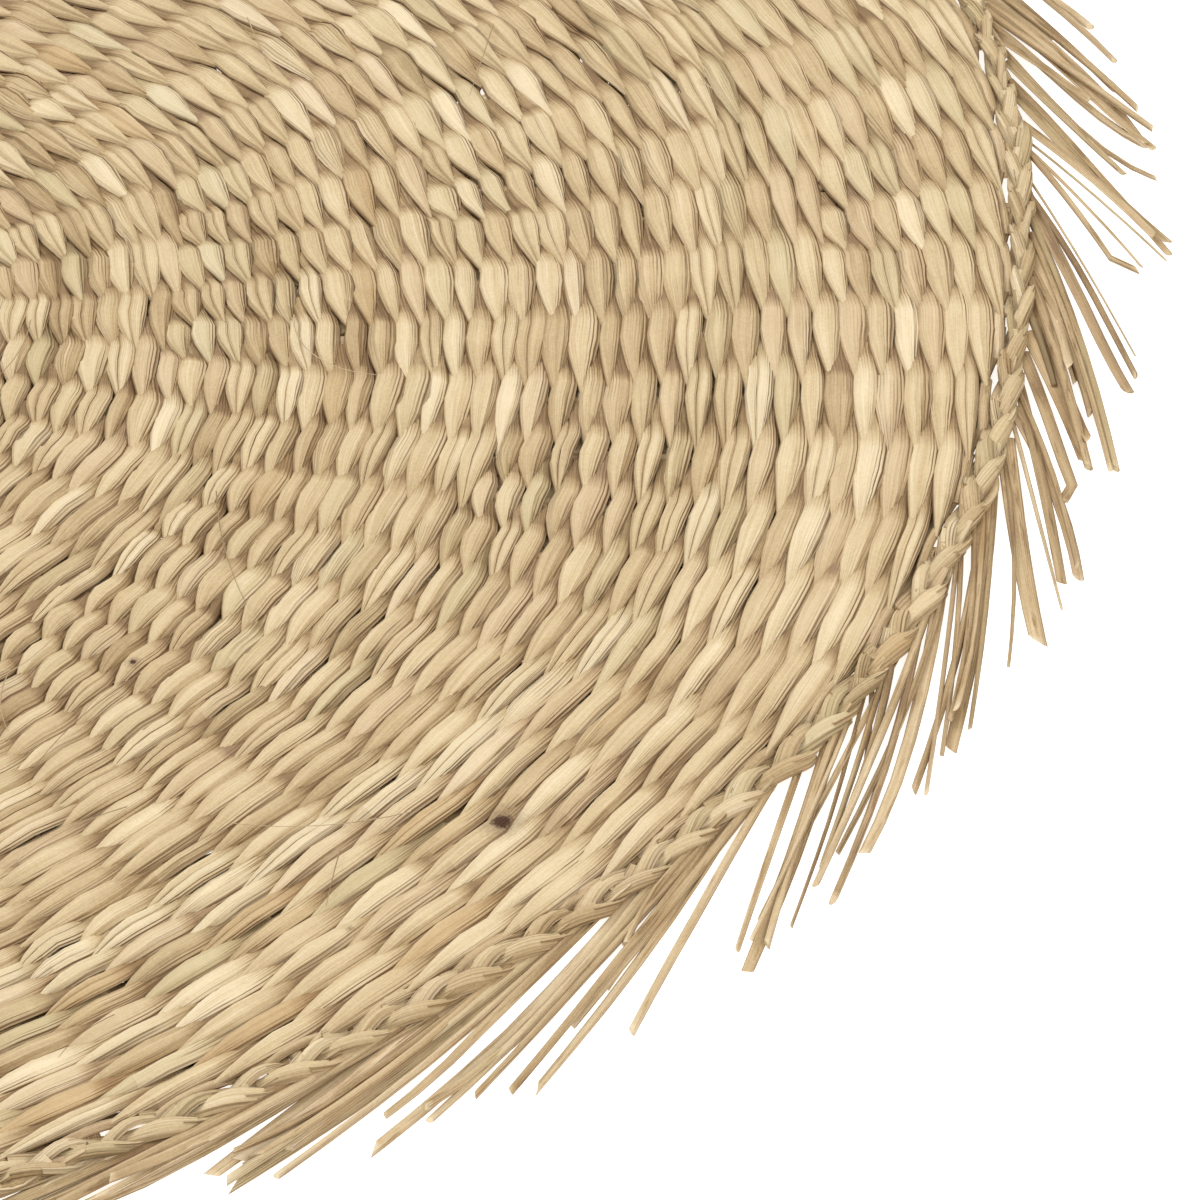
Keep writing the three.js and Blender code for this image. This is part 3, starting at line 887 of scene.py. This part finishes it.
def sweepFringe():
    count = fringeSet["strands"]
    t = np.array(fringeSet["stations"])
    kinds = list(fringeSet["kinds"])
    odds = np.array([fringeSet["kinds"][kind]["odds"] for kind in kinds])
    bundle = np.cumsum(rng.random(count) < 1 / fringeSet["perBundle"])

    def perBundle(spread):
        return rng.normal(0, spread, bundle.max() + 1)[bundle]

    root = -np.arange(count) * 2 * math.pi / count + rng.normal(0, 0.007, count) + perBundle(0.008)
    lean = np.radians(around(root, "lean") + perBundle(3) + rng.normal(0, 2.4, count))
    share = np.clip(0.97 + perBundle(0.07) + rng.normal(0, 0.05, count), 0.75, 1.12)
    few, least, most = fringeSet["shortOnes"]
    share = np.where(rng.random(count) < few, rng.uniform(least, most, count), share)
    reach = (around(root, "fringe") * mm - fringeSet["rootOut"]) * share
    length = np.minimum(reach / np.sin(lean + math.radians(3.5)), fringeSet["longest"])
    curl = np.radians(perBundle(4) + rng.normal(0, 6, count))
    heading = lean[:, None] + curl[:, None] * (t - 0.4)[None, :]
    kinked = rng.random(count) < fringeSet["kinked"]
    kink = np.radians(rng.choice([-25, 30], count))[:, None]
    heading += np.where(kinked[:, None] & (t > 0.84)[None, :], kink, 0)
    radius = np.zeros((count, len(t)))
    b = np.zeros((count, len(t)))
    radius[:, 0] = rimReach(root) + fringeSet["rootOut"]
    b[:, 0] = root
    for k in range(1, len(t)):
        step = length * (t[k] - t[k - 1])
        turned = heading[:, k - 1] + fringeSet["straight"] * (root - b[:, k - 1])
        radius[:, k] = radius[:, k - 1] + step * np.sin(turned)
        b[:, k] = b[:, k - 1] - step * np.cos(turned) / radius[:, k - 1]
    kind = rng.choice(len(kinds), count, p=odds / odds.sum())
    halfWidth = np.array([fringeSet["kinds"][kinds[k]]["halfWidth"] for k in kind])
    halfWidth = halfWidth * around(root, "broad") * np.clip(rng.normal(1, 0.2, count), 0.6, 1.6)
    thick = np.array([fringeSet["kinds"][kinds[k]]["thick"] for k in kind])
    rest = thick + 0.15 * mm + np.abs(rng.normal(0, 0.9 * mm, count))  # how high the strand lies
    drop = np.minimum(t / 0.55, 1) ** 1.3
    z = fringeSet["rootHeight"] + (rest - fringeSet["rootHeight"])[:, None] * drop[None, :]
    z += (np.maximum(t - 0.6, 0) ** 2)[None, :] * rng.choice([0, 0, 0, fringeSet["turnedUp"]], count)[:, None]
    z = np.maximum(z, thick[:, None] + 0.1 * mm)
    centre = np.stack([radius * np.cos(b), radius * np.sin(b), z], -1)
    forward = np.gradient(centre, axis=1)
    forward /= np.linalg.norm(forward, axis=2, keepdims=True)
    upward = np.zeros_like(forward)
    upward[..., 2] = 1
    side = np.cross(upward, forward)
    side /= np.linalg.norm(side, axis=2, keepdims=True)
    over = np.cross(forward, side)
    twist = np.radians(rng.normal(0, 12, count))[:, None, None] * (0.3 + t[None, :, None])
    acrossWay = side * np.cos(twist) + over * np.sin(twist)
    upWay = over * np.cos(twist) - side * np.sin(twist)
    width = halfWidth[:, None] * (1 - rng.uniform(0.05, 0.35, count)[:, None] * t[None, :] ** 2)
    thickness = thick[:, None] * (1 - 0.15 * t)[None, :]
    tint = rng.random((count, 4))
    tint[:, 0] = fringeSet["tone"] + perBundle(0.05) + rng.normal(0, fringeSet["toneSpread"], count)
    tint[:, 0] -= 0.2 * (rng.random(count) < 0.15)  # browned strands
    tint[:, 3] *= 0.8
    shades = np.repeat(tint[:, None, :], len(t), axis=1)
    # painted shade near the root, and the pale cut end
    shades[..., 0] += np.interp(t, fringeSet["shadeAt"], fringeSet["shade"])
    nodes = rng.random((count, len(t))) < fringeSet["nodes"]
    shades[..., 0] -= 0.22 * nodes
    shades[..., 1] = np.where(nodes, 0.5, shades[..., 1])
    slant = width[:, -1] * rng.normal(0, 1.1, count)
    batches = []
    shapeOf = {"flat": "flat", "channel": "channel", "stem": "stem", "split": "flat"}
    for number, name in enumerate(kinds):
        chosen = kind == number
        parts = (centre, acrossWay, upWay, width, thickness, shades)
        batch = bendBlanks(leafBlank(shapeOf[name], len(t)), *(part[chosen] for part in parts))
        batches.append(cutEnds(batch, forward[chosen, -1], slant[chosen]))
    return joinCopies("fringeEnds", batches, stalkFinish)


fringeEnds = sweepFringe()


# Stray fibres: hair-thin splits of leaf that lie loose over the weave
print("strays")
straySet = {
    "count": 46,
    "stations": 9,
    "length": (9 * mm, 24 * mm),
    "halfWidth": 0.09 * mm,
    "height": 4.25 * mm,  # above the table
    "bend": 28,  # degrees, from end to end
}


def scatterStrays():
    count = straySet["count"]
    t = np.linspace(0, 1, straySet["stations"])
    radius = rng.uniform(40 * mm, 176 * mm, count)
    b = rng.uniform(-math.pi, math.pi, count)
    heading = b - math.pi / 2 + np.radians(rng.normal(0, 35, count))
    heading = heading[:, None] + np.radians(rng.normal(0, straySet["bend"], count))[:, None] * t[None, :]
    step = rng.uniform(*straySet["length"], count) / (len(t) - 1)
    x = (radius * np.cos(b))[:, None] + np.cumsum(np.cos(heading), axis=1) * step[:, None]
    y = (radius * np.sin(b))[:, None] + np.cumsum(np.sin(heading), axis=1) * step[:, None]
    z = straySet["height"] + 0.25 * mm * np.sin(math.pi * t)[None, :] * rng.random(count)[:, None]
    far = np.maximum(np.hypot(x, y) / (182 * mm), 1)  # none goes past the braid
    centre = np.stack([x / far, y / far, z], -1)
    upWay = np.zeros_like(centre)
    upWay[..., 2] = 1
    acrossWay = np.stack([-np.sin(heading), np.cos(heading), 0 * heading], -1)
    width = np.full((count, len(t)), straySet["halfWidth"]) * (1 - 0.5 * t)[None, :]
    tint = rng.random((count, 4))
    tint[:, 0] = rng.normal(0.42, 0.2, count)
    batch = bendBlanks(leafBlank("under", len(t)), centre, acrossWay, upWay, width, width, tint)
    return joinCopies("strays", [batch], stalkFinish)


strays = scatterStrays()


# What each piece stands for, and the cloth as one sheet
print("frame")
for piece in [*weavePieces, underRows, spokes, knots, strays]:
    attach(piece, "root")
    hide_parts("woven_field")
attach(rimBraid, "root")
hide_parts("braided_rim")
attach(fringeEnds, "root")
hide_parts("fringe")
